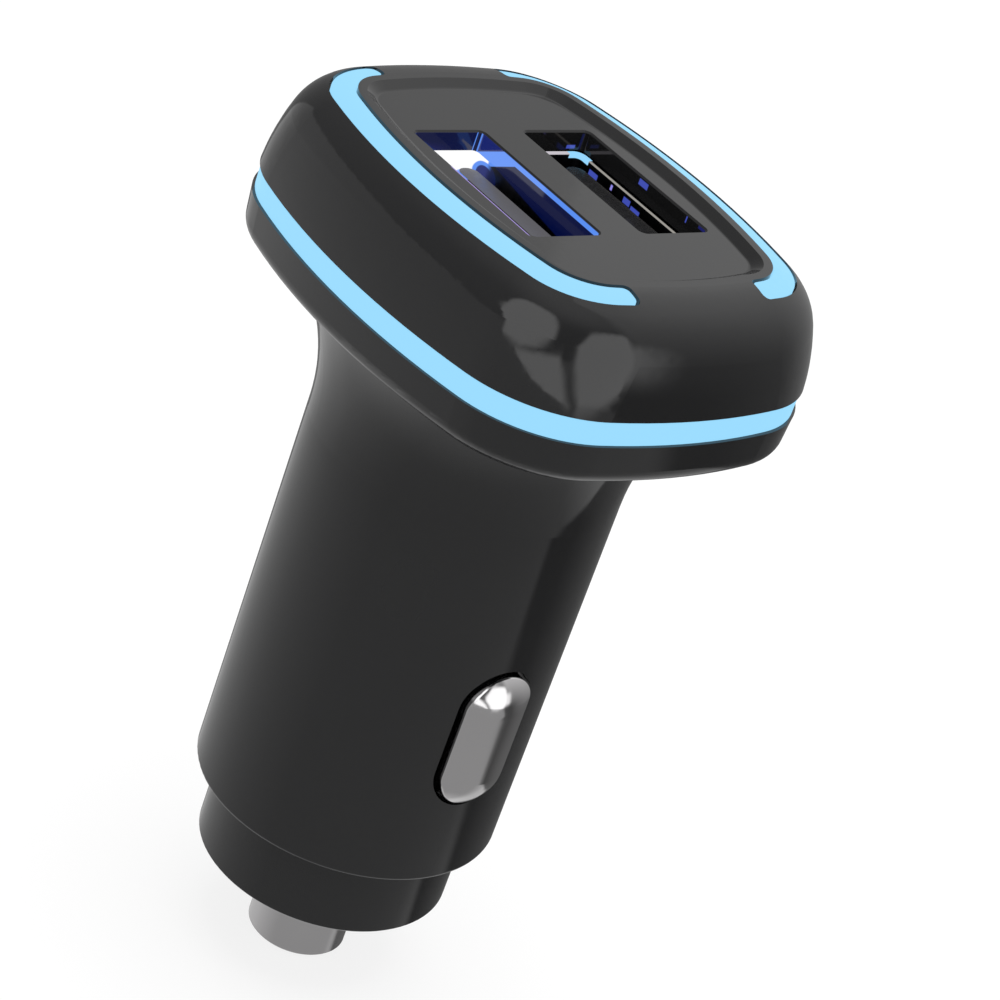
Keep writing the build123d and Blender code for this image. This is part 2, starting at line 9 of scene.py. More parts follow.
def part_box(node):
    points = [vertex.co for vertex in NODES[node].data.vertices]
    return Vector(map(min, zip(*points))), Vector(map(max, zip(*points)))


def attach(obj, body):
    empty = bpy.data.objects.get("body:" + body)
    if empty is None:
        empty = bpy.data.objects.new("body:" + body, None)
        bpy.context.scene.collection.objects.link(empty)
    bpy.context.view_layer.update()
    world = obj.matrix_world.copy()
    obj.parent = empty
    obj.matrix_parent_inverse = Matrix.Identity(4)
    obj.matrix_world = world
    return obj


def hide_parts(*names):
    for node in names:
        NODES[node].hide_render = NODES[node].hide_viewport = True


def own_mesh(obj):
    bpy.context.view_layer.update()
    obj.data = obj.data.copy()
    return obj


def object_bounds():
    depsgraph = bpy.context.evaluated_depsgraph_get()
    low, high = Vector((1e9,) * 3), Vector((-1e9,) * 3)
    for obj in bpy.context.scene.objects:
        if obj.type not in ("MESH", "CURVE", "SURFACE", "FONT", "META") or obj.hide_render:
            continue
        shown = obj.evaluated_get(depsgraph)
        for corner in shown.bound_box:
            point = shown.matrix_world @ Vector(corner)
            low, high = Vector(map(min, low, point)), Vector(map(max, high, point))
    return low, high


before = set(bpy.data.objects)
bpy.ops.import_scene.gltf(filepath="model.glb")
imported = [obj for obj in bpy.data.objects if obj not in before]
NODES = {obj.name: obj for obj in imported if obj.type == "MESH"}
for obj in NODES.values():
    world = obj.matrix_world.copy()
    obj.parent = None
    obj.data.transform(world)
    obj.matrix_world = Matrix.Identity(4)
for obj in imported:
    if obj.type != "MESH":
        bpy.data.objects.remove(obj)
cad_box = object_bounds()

MM = 0.001

# Camera, solved from the photograph's edges
CAMERA_PLACE = Vector((-123.947, -125.436, 117.495)) * MM
CAMERA_AZIMUTH = math.radians(-45.681)
CAMERA_ELEVATION = math.radians(27.914)
CAMERA_ROLL = math.radians(20.149)
CAMERA_LENS = 113.103
CAMERA_SENSOR = 36.0
CAMERA_NEAR = 0.01
CAMERA_FAR = 20.0

# Places on the charger that its finishes follow
COVER_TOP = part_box("top_cover")[1].z
FACE_SINK = 0.43 * MM
FACE_Z = COVER_TOP - FACE_SINK
SLEEVE_WALL = 0.3 * MM
SLEEVE_INSET = 0.03 * MM

# Springs
COIL_WIRE = 0.5 * MM
COIL_TURNS = 4
COIL_DEAD_TURNS = 1
COIL_STEPS = 40
WIRE_SIDES = 12
LEAF_THICKNESS = 0.3 * MM
LEAF_EDGE = LEAF_THICKNESS / 4
LEAF_STEPS = 32

# Half widths of the soft edges of a patch of light
HAIR_EDGE = 0.01 * MM
SKIN_EDGE = 0.015 * MM
FINE_EDGE = 0.02 * MM
CRISP_EDGE = 0.03 * MM
SOFT_EDGE = 0.05 * MM
BROAD_EDGE = 0.1 * MM


def bare_material(name):
    """A material with nothing but its output."""
    material = bpy.data.materials.new(name)
    material.use_nodes = True
    tree = material.node_tree
    tree.nodes.clear()
    return material, tree, tree.nodes.new("ShaderNodeOutputMaterial")


def new_material(name):
    """A material with only its shader and its output."""
    material, tree, output = bare_material(name)
    shader = tree.nodes.new("ShaderNodeBsdfPrincipled")
    tree.links.new(shader.outputs["BSDF"], output.inputs["Surface"])
    return material, tree, shader


def feed(tree, socket, value):
    """Links a socket to another one, or sets its value."""
    if isinstance(value, bpy.types.NodeSocket):
        tree.links.new(value, socket)
    elif isinstance(value, tuple) and len(value) == 3 and socket.type == "RGBA":
        socket.default_value = (*value, 1.0)
    else:
        socket.default_value = value


def put(tree, kind, settings=None, sockets=None):
    """Adds a node with its settings and what goes into its sockets."""
    made = tree.nodes.new(kind)
    for key, value in (settings or {}).items():
        setattr(made, key, value)
    for key, value in (sockets or {}).items():
        feed(tree, made.inputs[key], value)
    return made


def sum_up(tree, operation, first, second=0.0):
    """The result of one sum."""
    return put(tree, "ShaderNodeMath", {"operation": operation}, {0: first, 1: second}).outputs[0]


def sum_vectors(tree, operation, first, second=(0.0, 0.0, 0.0), result="Vector"):
    """The result of one sum with vectors."""
    made = put(tree, "ShaderNodeVectorMath", {"operation": operation}, {0: first, 1: second})
    return made.outputs[result]


def spread(tree, value, low, high, to_low=0.0, to_high=1.0, ease="SMOOTHSTEP"):
    """A value moved from one range to another."""
    ends = {"Value": value, "From Min": low, "From Max": high, "To Min": to_low, "To Max": to_high}
    return put(tree, "ShaderNodeMapRange", {"interpolation_type": ease}, ends).outputs["Result"]


def blend_colours(tree, share, first, second):
    """The colour that lies between two others."""
    made = put(tree, "ShaderNodeMix", {"data_type": "RGBA"}, {0: share, 6: first, 7: second})
    return made.outputs[2]


def whereabouts(tree):
    """Where a point of a piece lies, in metres."""
    return put(tree, "ShaderNodeTexCoord").outputs["Object"]


def places(tree):
    """The three coordinates of a point on the charger, in metres."""
    return put(tree, "ShaderNodeSeparateXYZ", None, {0: whereabouts(tree)}).outputs


def drift(tree, where, scale, detail):
    """A value that wanders over a surface."""
    sockets = {"Vector": where, "Scale": scale, "Detail": detail}
    return put(tree, "ShaderNodeTexNoise", None, sockets).outputs["Fac"]


def lift(tree, shader, strength, relief, height):
    """Lifts a finish's surface by a height that changes over it."""
    sockets = {"Strength": strength, "Distance": relief, "Height": height}
    feed(tree, shader.inputs["Normal"], put(tree, "ShaderNodeBump", None, sockets).outputs["Normal"])


def give_off(tree, shader, light):
    """Lets a finish give off light: a lamp's own, or light painted on a surface."""
    feed(tree, shader.inputs["Emission Color"], light)
    shader.inputs["Emission Strength"].default_value = 1.0


def step_up(tree, value, edge, soft):
    """0 before an edge and 1 after it."""
    return spread(tree, value, edge - soft, edge + soft)


def step_down(tree, value, edge, soft):
    """1 before an edge and 0 after it."""
    return spread(tree, value, edge - soft, edge + soft, 1.0, 0.0)


def within(tree, value, low, high, soft=SOFT_EDGE):
    """1 between two limits and 0 outside them, with a soft step at each."""
    return sum_up(tree, "MULTIPLY", step_up(tree, value, low, soft), step_down(tree, value, high, soft))


def out_from(tree, value, middle, reach, power):
    """How far a value lies from a middle, as a power of its share of a reach."""
    share = sum_up(tree, "DIVIDE", sum_up(tree, "SUBTRACT", value, middle), reach)
    return sum_up(tree, "POWER", sum_up(tree, "ABSOLUTE", share), power)


def oval(tree, across, up, middle, reach, power, soft):
    """A soft-edged oval in two values."""
    beside = out_from(tree, across, middle[0], reach[0], power)
    above = out_from(tree, up, middle[1], reach[1], power)
    return step_down(tree, sum_up(tree, "ADD", beside, above), 1.0, soft)


def all_of(tree, *masks):
    """Where all masks hold."""
    result = masks[0]
    for mask in masks[1:]:
        result = sum_up(tree, "MULTIPLY", result, mask)
    return result


def skewed(tree, value, along, slope):
    """A value that slides as another one grows."""
    return sum_up(tree, "SUBTRACT", value, sum_up(tree, "MULTIPLY", along, slope))


def effect_group(name, inputs, outputs):
    """An empty group for an effect that several finishes share."""
    tree = bpy.data.node_groups.new(name, "ShaderNodeTree")
    for label, value in inputs.items():
        socket = tree.interface.new_socket(label, in_out="INPUT", socket_type="NodeSocketFloat")
        socket.default_value = value
    for label in outputs:
        tree.interface.new_socket(label, in_out="OUTPUT", socket_type="NodeSocketFloat")
    return tree, tree.nodes.new("NodeGroupInput"), tree.nodes.new("NodeGroupOutput")


# Marks of moulding and drawing, which most finishes take as they are
FLOW_SCALE = 90.0
FLOW_DETAIL = 3.0
GRAIN_SCALE = 2500.0
GRAIN_DETAIL = 2.0
GRAIN_BUMP = 0.5
LINE_SCALE = 4000.0
LINE_STRETCH = 0.03
LINE_DETAIL = 2.0
TARNISH_SCALE = 160.0
TARNISH_DETAIL = 4.0
MARK_SPAN = (0.3, 0.7)


def make_moulding_marks():
    """Slow flow lines and fine grain of moulded plastic."""
    inputs = {"Flow Scale": FLOW_SCALE, "Grain Scale": GRAIN_SCALE}
    tree, into, out = effect_group("moulding_marks", inputs, ("Flow", "Grain"))
    where = whereabouts(tree)
    flow = drift(tree, where, into.outputs["Flow Scale"], FLOW_DETAIL)
    grain = drift(tree, where, into.outputs["Grain Scale"], GRAIN_DETAIL)
    tree.links.new(flow, out.inputs["Flow"])
    tree.links.new(grain, out.inputs["Grain"])
    return tree


def make_drawn_lines():
    """Fine lines along a drawn or stamped metal, and its slow tarnish."""
    inputs = {"Line Scale": LINE_SCALE, "Line Stretch": LINE_STRETCH, "Tarnish Scale": TARNISH_SCALE}
    tree, into, out = effect_group("drawn_lines", inputs, ("Lines", "Tarnish"))
    where = whereabouts(tree)
    stretch = put(tree, "ShaderNodeCombineXYZ", None, {0: 1.0, 1: 1.0, 2: into.outputs["Line Stretch"]})
    along = sum_vectors(tree, "MULTIPLY", where, stretch.outputs[0])
    lines = drift(tree, along, into.outputs["Line Scale"], LINE_DETAIL)
    tarnish = drift(tree, where, into.outputs["Tarnish Scale"], TARNISH_DETAIL)
    tree.links.new(lines, out.inputs["Lines"])
    tree.links.new(tarnish, out.inputs["Tarnish"])
    return tree


MOULDING_MARKS = make_moulding_marks()
DRAWN_LINES = make_drawn_lines()


def place_group(tree, group, **values):
    """Places an effect in a finish, with that finish's own values."""
    made = put(tree, "ShaderNodeGroup", {"node_tree": group})
    for key, value in values.items():
        made.inputs[key.replace("_", " ").title()].default_value = value
    return made.outputs


def moulded(name, dark, light, smooth, rough, relief=0.0):
    """A moulded plastic: colour and gloss drift with the flow, and a fine grain may lift the surface."""
    material, tree, shader = new_material(name)
    marks = place_group(tree, MOULDING_MARKS, flow_scale=FLOW_SCALE, grain_scale=GRAIN_SCALE)
    feed(tree, shader.inputs["Base Color"], blend_colours(tree, marks["Flow"], dark, light))
    feed(tree, shader.inputs["Roughness"], spread(tree, marks["Grain"], *MARK_SPAN, smooth, rough))
    if relief:
        lift(tree, shader, GRAIN_BUMP, relief, marks["Grain"])
    return material, tree, shader


def plated(name, dark, light, smooth, rough):
    """A bare or plated metal: lines in its gloss, tarnish in its colour."""
    material, tree, shader = new_material(name)
    shader.inputs["Metallic"].default_value = 1.0
    marks = place_group(
        tree, DRAWN_LINES, line_scale=LINE_SCALE, line_stretch=LINE_STRETCH, tarnish_scale=TARNISH_SCALE
    )
    feed(tree, shader.inputs["Base Color"], blend_colours(tree, marks["Tarnish"], dark, light))
    feed(tree, shader.inputs["Roughness"], spread(tree, marks["Lines"], *MARK_SPAN, smooth, rough))
    return material, tree, shader


# Finishes: the darker and the lighter colour, then the smoothest and the roughest gloss
NICKEL = ((0.57, 0.56, 0.565), (0.63, 0.62, 0.625))
# The sleeves' metal is set nearly black: painted shade of the deep sockets
SLEEVE_SHADED_METAL = ((0.02, 0.02, 0.024), (0.03, 0.03, 0.034))
HOUSING_BLACK = ((0.0125, 0.0125, 0.013), (0.0155, 0.0155, 0.016), 0.05, 0.09)
GUIDE_BODY = ((0.010, 0.020, 0.028), (0.014, 0.026, 0.034), 0.4, 0.5)
SLEEVE_LEFT_METAL = (*SLEEVE_SHADED_METAL, 0.3, 0.45)
SLEEVE_RIGHT_METAL = (*SLEEVE_SHADED_METAL, 0.35, 0.5)
TONGUE_LEFT_BLACK = ((0.010, 0.010, 0.012), (0.013, 0.013, 0.015), 0.3, 0.4)
TONGUE_RIGHT_BLACK = ((0.012, 0.012, 0.013), (0.018, 0.018, 0.019), 0.2, 0.3)
PIN_NICKEL = (*NICKEL, 0.14, 0.2)
CONTACT_NICKEL = (*NICKEL, 0.08, 0.13)
TERMINAL_GOLD = ((0.62, 0.45, 0.16), (0.78, 0.60, 0.26), 0.2, 0.35)
SEAT_BRASS = ((0.60, 0.42, 0.15), (0.74, 0.55, 0.24), 0.25, 0.4)
SPRING_STEEL = ((0.45, 0.45, 0.47), (0.58, 0.58, 0.60), 0.2, 0.35)
CAN_ALUMINIUM = ((0.55, 0.55, 0.57), (0.66, 0.66, 0.68), 0.25, 0.4)
WINDING_COPPER = ((0.55, 0.20, 0.09), (0.78, 0.36, 0.17), 0.2, 0.4)
CORE_FERRITE = ((0.05, 0.05, 0.052), (0.09, 0.09, 0.092), 0.6, 0.8)
FRAME_NYLON = ((0.62, 0.61, 0.57), (0.72, 0.71, 0.67), 0.45, 0.6)
CHIP_EPOXY = ((0.018, 0.018, 0.019), (0.03, 0.03, 0.031), 0.45, 0.6)
FUSE_COATING = ((0.55, 0.38, 0.08), (0.68, 0.50, 0.14), 0.35, 0.5)
LAMP_CLEAR = ((0.7, 0.74, 0.78), (0.8, 0.84, 0.88), 0.08, 0.15)
BOARD_GREEN = ((0.015, 0.12, 0.05), (0.02, 0.14, 0.06), 0.25, 0.4)
FINE_RELIEF = 0.01 * MM
FERRITE_RELIEF = 0.03 * MM


def black_gloss(name):
    """The polished black of the housing."""
    return moulded(name, *HOUSING_BLACK)


# Painted light that stands on the walls of the sockets
UNLIT = (0.0, 0.0, 0.0)
GLOW_NAVY = (0.0005, 0.003, 0.040)
GLOW_DEEP = (0.005, 0.013, 0.14)
GLOW_DUSK = (0.008, 0.010, 0.115)
GLOW_BLUE = (0.10, 0.27, 0.88)
GLOW_LILAC = (0.30, 0.22, 0.58)
GLINT_BLUE = (0.05, 0.075, 0.43)
GLINT_PALE = (0.28, 0.25, 0.78)

# Left socket, in painted light: the slanting bright field on its right wall, the bright edge above it and the
# painted shade below
SOCKET_MARGIN = 0.2 * MM
SOCKET_LEFT_MARGIN = 0.02 * MM
SOCKET_LIGHT_FROM = 0.11 * MM
WALL_SKIN = 0.045 * MM
GLOW_SLOPE = 0.545
GLOW_TOP = -2.0 * MM
GLOW_FOOT = -0.965 * MM
SHADE_SLOPE = -0.112
SHADE_FROM = 1.825 * MM
SHADE_EDGE = 0.04 * MM
EDGE_LINE = (0.09 * MM, 0.42 * MM)

# Left socket: the painted light of its far wall, with painted lines of light in its corner, and the painted
# lilac line of light beside its aperture
DUSK_DEPTH = 1.0 * MM
DUSK_EDGE = 0.3 * MM
DUSK_TO_WALL = 1.5 * MM
CORNER_LIGHT_LINES = ((-8.24 * MM, -8.17 * MM), (-7.86 * MM, -7.68 * MM))
LILAC_SPAN = (-6.2 * MM, 1.9 * MM)
LILAC_END_EDGE = 0.2 * MM
LILAC_FROM_WALL = (0.21 * MM, 0.11 * MM)
LILAC_DEPTH = 0.025 * MM
LILAC_DEPTH_EDGE = 0.005 * MM

# Right socket: each painted glint's light, its span along the wall and its depth, in millimetres
RIGHT_WALL_GLINTS = (
    (GLINT_BLUE, (-0.28, 0.61), (0.2, 0.6)),
    (GLINT_BLUE, (-4.3, -4.2), (0.15, 0.58)),
    (GLOW_DUSK, (-6.3, -5.4), (0.12, 0.3)),
)
FAR_WALL_GLINTS = (
    (GLINT_BLUE, (5.62, 6.33), (1.0, 1.25)),
    (GLOW_NAVY, (6.6, 6.95), (0.2, 1.3)),
)
SLEEVE_GLINTS = (
    (GLINT_BLUE, (4.1, 5.0), (2.0, 2.35)),
    (GLINT_PALE, (2.55, 2.75), (1.85, 2.2)),
    (GLINT_BLUE, (0.65, 1.35), (1.9, 2.3)),
    (GLINT_BLUE, (-0.4, 0.5), (2.1, 2.4)),
)

# Right socket: how far before and past its walls the glints reach
GLINT_SKIN = 0.04 * MM
GLINT_WALL = (0.1 * MM, 0.05 * MM)
FAR_WALL = (0.05 * MM, 0.15 * MM)
FAR_WALL_FROM_X = 2.0 * MM


def port_walls(side):
    """The inner faces of one aperture: low x, high x and half length."""
    low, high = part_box(f"usb_shell_{side}")
    wall = SLEEVE_WALL - SLEEVE_INSET
    return low.x + wall, high.x - wall, high.y - wall


def wall_places(tree):
    """Where a point lies across the sockets, along them, and below the face."""
    x, y, z = places(tree)
    return x, y, sum_up(tree, "SUBTRACT", FACE_Z, z)


def lay_light(tree, under, light, *masks):
    """Light laid over other light where all masks hold."""
    return blend_colours(tree, all_of(tree, *masks), under, light)


def lay_glints(tree, patches, along, depth):
    """The small painted glints of one wall."""
    light = UNLIT
    for colour, span, drop in patches:
        across = within(tree, along, span[0] * MM, span[1] * MM, CRISP_EDGE)
        down = within(tree, depth, drop[0] * MM, drop[1] * MM, CRISP_EDGE)
        light = lay_light(tree, light, colour, across, down)
    return light


def light_left_socket(tree, x, y, depth, far_light):
    """Where the left socket's painted light lies, and that light: the far wall's, and that of the right wall.
    """
    low_x, high_x, half_y = port_walls("left")
    inside = all_of(
        tree,
        within(tree, x, low_x - SOCKET_LEFT_MARGIN, high_x + SOCKET_MARGIN, HAIR_EDGE),
        within(tree, y, -half_y - SOCKET_MARGIN, half_y + SOCKET_MARGIN),
        step_up(tree, depth, SOCKET_LIGHT_FROM, FINE_EDGE),
    )
    slant = skewed(tree, depth, y, GLOW_SLOPE)
    field = within(tree, slant, GLOW_TOP, GLOW_FOOT, CRISP_EDGE)
    edge = within(tree, depth, *EDGE_LINE, FINE_EDGE)
    edge = all_of(tree, edge, spread(tree, slant, GLOW_TOP, GLOW_FOOT))
    shade = step_up(tree, skewed(tree, depth, y, SHADE_SLOPE), SHADE_FROM, SHADE_EDGE)
    wall = blend_colours(tree, shade, GLOW_NAVY, UNLIT)
    wall = lay_light(tree, wall, GLOW_DEEP, step_down(tree, slant, GLOW_TOP, CRISP_EDGE))
    wall = lay_light(tree, wall, GLOW_BLUE, sum_up(tree, "MAXIMUM", field, edge))
    right = step_up(tree, x, high_x - WALL_SKIN, SKIN_EDGE)
    return inside, lay_light(tree, far_light, wall, right)


def light_left_far_wall(tree, x, y, depth):
    """The left socket's far wall, in painted light: navy, dusky low down on the left, with bright painted
    lines of light in its right corner.
    """
    low_x, high_x, _ = port_walls("left")
    low = step_up(tree, depth, DUSK_DEPTH, DUSK_EDGE)
    left = spread(tree, x, low_x, high_x - DUSK_TO_WALL, 1.0, 0.0)
    light = lay_light(tree, GLOW_NAVY, GLOW_DUSK, low, left)
    across = sum_up(tree, "SUBTRACT", x, y)
    for line in CORNER_LIGHT_LINES:
        light = lay_light(tree, light, GLOW_BLUE, within(tree, across, *line, FINE_EDGE))
    return light


def cover_gloss_and_painted_light():
    """The housing's black, with the lamps' blue painted as light on the walls of both apertures."""
    material, tree, shader = black_gloss("cover_gloss_and_painted_light")
    x, y, depth = wall_places(tree)
    low_x, _, half_y = port_walls("left")
    inside, light = light_left_socket(tree, x, y, depth, light_left_far_wall(tree, x, y, depth))
    total = lay_light(tree, UNLIT, light, inside)

    # A painted lilac line of light on the face, just beside the left aperture
    lilac = all_of(
        tree,
        within(tree, x, low_x - LILAC_FROM_WALL[0], low_x - LILAC_FROM_WALL[1], HAIR_EDGE),
        step_down(tree, depth, LILAC_DEPTH, LILAC_DEPTH_EDGE),
        within(tree, y, *LILAC_SPAN, LILAC_END_EDGE),
    )
    total = lay_light(tree, total, GLOW_LILAC, lilac)

    # Painted glints on the right socket's right and far walls
    wall_x = port_walls("right")[1]
    right = step_up(tree, x, wall_x - GLINT_SKIN, HAIR_EDGE)
    beside = within(tree, x, wall_x - GLINT_WALL[0], wall_x + GLINT_WALL[1])
    total = lay_light(tree, total, lay_glints(tree, RIGHT_WALL_GLINTS, y, depth), right, beside)
    far = within(tree, y, half_y - FAR_WALL[0], half_y + FAR_WALL[1], HAIR_EDGE)
    across = within(tree, x, FAR_WALL_FROM_X, wall_x)
    total = lay_light(tree, total, lay_glints(tree, FAR_WALL_GLINTS, x, depth), far, across)
    give_off(tree, shader, total)
    return material


# Light guides
GUIDE_LIT = (0.315, 0.69, 0.965)
GUIDE_LIT_EVEN = (0.33, 0.715, 0.985)
GUIDE_FLOW_SCALE = 60.0
GUIDE_GRAIN_SCALE = 1500.0
GUIDE_SPECULAR = 0.1


def guide_lit():
    """The lit light guide: an even pale blue with a slow drift."""
    material, tree, shader = moulded("guide_lit", *GUIDE_BODY)
    marks = place_group(tree, MOULDING_MARKS, flow_scale=GUIDE_FLOW_SCALE, grain_scale=GUIDE_GRAIN_SCALE)
    give_off(tree, shader, blend_colours(tree, marks["Flow"], GUIDE_LIT, GUIDE_LIT_EVEN))
    shader.inputs["Specular IOR Level"].default_value = GUIDE_SPECULAR
    return material


# Left sleeve: painted white light on its far wall, and a painted blue crescent of light round its far right
# corner
SLEEVE_PAINTED_WHITE = (1.0, 1.0, 1.0)
PAINTED_WHITE_FROM_Y = 4.85 * MM
ARC_MIDDLE = (4.85 * MM, 2.35 * MM)
ARC_REACH = (1.2 * MM, 0.85 * MM)
ARC_HOLE_REACH = (0.864 * MM, 0.612 * MM)
ARC_POWER = 2.0
ARC_EDGE = 0.08
ARC_HOLE_EDGE = 0.12
ARC_DIM_FROM = 0.2 * MM
ARC_DIM_EDGE = 0.3 * MM
ARC_FROM_X = -1.85 * MM


def sleeve_left():
    """The left socket's metal sleeve: its far wall carries painted white light, and its right wall carries on
    the painted blue light.
    """
    material, tree, shader = plated("sleeve_left", *SLEEVE_LEFT_METAL)
    x, y, depth = wall_places(tree)
    inside, light = light_left_socket(tree, x, y, depth, GLOW_NAVY)
    light = lay_light(tree, light, SLEEVE_PAINTED_WHITE, step_up(tree, y, PAINTED_WHITE_FROM_Y, BROAD_EDGE))
    hole = oval(tree, y, depth, ARC_MIDDLE, ARC_HOLE_REACH, ARC_POWER, ARC_HOLE_EDGE)
    arc = blend_colours(tree, hole, GLOW_BLUE, GLOW_DEEP)
    arc = lay_light(tree, arc, GLOW_NAVY, step_down(tree, y, ARC_MIDDLE[0] - ARC_DIM_FROM, ARC_DIM_EDGE))
    ring = oval(tree, y, depth, ARC_MIDDLE, ARC_REACH, ARC_POWER, ARC_EDGE)
    light = lay_light(tree, light, arc, ring, step_up(tree, x, ARC_FROM_X, SOFT_EDGE))
    give_off(tree, shader, lay_light(tree, UNLIT, light, inside))
    return material


# Right sleeve: a painted highlight on its cut rim, and a taller painted patch of pale light, standing for a
# clip, in the far corner of that rim
RIM_LIGHT = (0.34, 0.325, 0.30)
RIM_FAR_LIGHT = (0.58, 0.55, 0.60)
RIM_HEIGHT = 0.065 * MM
RIM_WIDTH = 0.115 * MM
CLIP_LIGHT = (0.30, 0.68, 1.0)
CLIP_HEIGHT = 0.315 * MM
CLIP_FROM_X = 6.08 * MM
CLIP_FROM_Y = 5.28 * MM
SLEEVE_GLINT_SKIN = 0.075 * MM
SLEEVE_GLINT_EDGE = 0.025 * MM


def sleeve_right():
    """The right socket's metal sleeve: painted dark, with a painted highlight on its cut rim, a painted patch
    of pale light in its far corner and small painted glints.
    """
    material, tree, shader = plated("sleeve_right", *SLEEVE_RIGHT_METAL)
    x, y, depth = wall_places(tree)
    rim_depth = FACE_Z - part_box("usb_shell_right")[1].z
    wall_x = port_walls("right")[1]
    far = step_up(tree, y, CLIP_FROM_Y, CRISP_EDGE)
    beside = step_up(tree, x, CLIP_FROM_X, CRISP_EDGE)
    light = blend_colours(tree, far, RIM_LIGHT, RIM_FAR_LIGHT)
    light = lay_light(tree, light, CLIP_LIGHT, far, beside)

    rim = step_down(tree, depth, rim_depth + RIM_HEIGHT, SKIN_EDGE)
    rim = all_of(tree, rim, step_down(tree, x, wall_x + RIM_WIDTH, SKIN_EDGE))
    clip = all_of(tree, step_down(tree, depth, rim_depth + CLIP_HEIGHT, SKIN_EDGE), far, beside)
    shown = sum_up(tree, "MAXIMUM", rim, clip)

    right = step_up(tree, x, wall_x - SLEEVE_GLINT_SKIN, SLEEVE_GLINT_EDGE)
    dark = lay_light(tree, UNLIT, lay_glints(tree, SLEEVE_GLINTS, y, depth), right)
    give_off(tree, shader, lay_light(tree, dark, light, shown))
    return material


# Left tongue: its painted light, and where that starts below its top
TONGUE_TOP_LIGHT = (0.098, 0.096, 0.101)
TONGUE_TOP_SKIN = 0.02 * MM
TONGUE_BLUE_FROM_Y = 3.9 * MM
TONGUE_BLUE_DEPTH = 0.8 * MM
TONGUE_BRIGHT_DEPTH = 0.39 * MM


def tongue_left_black_and_painted_light():
    """The left tongue: painted grey light on its top, and the lamps' blue painted as light on its rounded far
    right corner.
    """
    material, tree, shader = moulded("tongue_left_black_and_painted_light", *TONGUE_LEFT_BLACK)
    _, y, z = places(tree)
    top_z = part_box("usb_tongue_left")[1].z
    bright = step_up(tree, z, top_z - TONGUE_BRIGHT_DEPTH, CRISP_EDGE)
    blue = blend_colours(tree, bright, GLOW_DEEP, GLOW_BLUE)
    far = step_up(tree, y, TONGUE_BLUE_FROM_Y, BROAD_EDGE)
    high = step_up(tree, z, top_z - TONGUE_BLUE_DEPTH, BROAD_EDGE)
    side = lay_light(tree, UNLIT, blue, far, high)
    top = step_up(tree, z, top_z - TONGUE_TOP_SKIN, HAIR_EDGE)
    give_off(tree, shader, lay_light(tree, side, TONGUE_TOP_LIGHT, top))
    return material


# Winding, boards and lamps
WIRE_WAVE_SCALE = 600.0
WIRE_WAVE_WOBBLE = 0.4
WIRE_WAVE_BUMP = 0.8
WIRE_WAVE_RELIEF = 0.15 * MM
TRACK_SCALE = 500.0
TRACK_WIDTH = 0.06
TRACK_OFFSET = 0.35
TRACK_COLOUR = (0.06, 0.24, 0.09)
LAMP_GLOW = ((0.3, 0.6, 0.9), (0.4, 0.7, 1.0))
LAMP_FLOW_SCALE = 200.0
LAMP_GRAIN_SCALE = 2000.0


def copper_turns():
    """Enamelled copper wire, turn beside turn."""
    material, tree, shader = plated("copper_turns", *WINDING_COPPER)
    wave = put(
        tree,
        "ShaderNodeTexWave",
        {"wave_type": "BANDS", "bands_direction": "Z", "wave_profile": "SIN"},
        {"Vector": whereabouts(tree), "Scale": WIRE_WAVE_SCALE, "Distortion": WIRE_WAVE_WOBBLE},
    )
    lift(tree, shader, WIRE_WAVE_BUMP, WIRE_WAVE_RELIEF, wave.outputs["Fac"])
    return material


def board_laminate():
    """Green solder mask over faint copper tracks."""
    material, tree, shader = moulded("board_laminate", *BOARD_GREEN)
    sockets = {
        "Vector": whereabouts(tree),
        "Scale": TRACK_SCALE,
        "Mortar Size": TRACK_WIDTH,
        "Color1": BOARD_GREEN[0],
        "Color2": BOARD_GREEN[1],
        "Mortar": TRACK_COLOUR,
    }
    tracks = put(tree, "ShaderNodeTexBrick", {"offset": TRACK_OFFSET, "squash": 1.0}, sockets)
    feed(tree, shader.inputs["Base Color"], tracks.outputs["Color"])
    return material


def lamp_dome():
    """A clear lamp dome, lit pale blue."""
    material, tree, shader = moulded("lamp_dome", *LAMP_CLEAR)
    marks = place_group(tree, MOULDING_MARKS, flow_scale=LAMP_FLOW_SCALE, grain_scale=LAMP_GRAIN_SCALE)
    give_off(tree, shader, blend_colours(tree, marks["Flow"], *LAMP_GLOW))
    return material


# Dome of the side contacts: how steeply the surface leans up, and aside, from where it starts
CONTACT_DOME_FROM = 13.5 * MM
CONTACT_DOME_RISE = 0.135 / MM
CONTACT_DOME_MIDDLE = 0.85 * MM
CONTACT_DOME_SWEEP = 0.13 / MM
CONTACT_DOME_SWEEP_MOST = -0.35
CONTACT_DOME_SWEEP_IN = 0.5 * MM


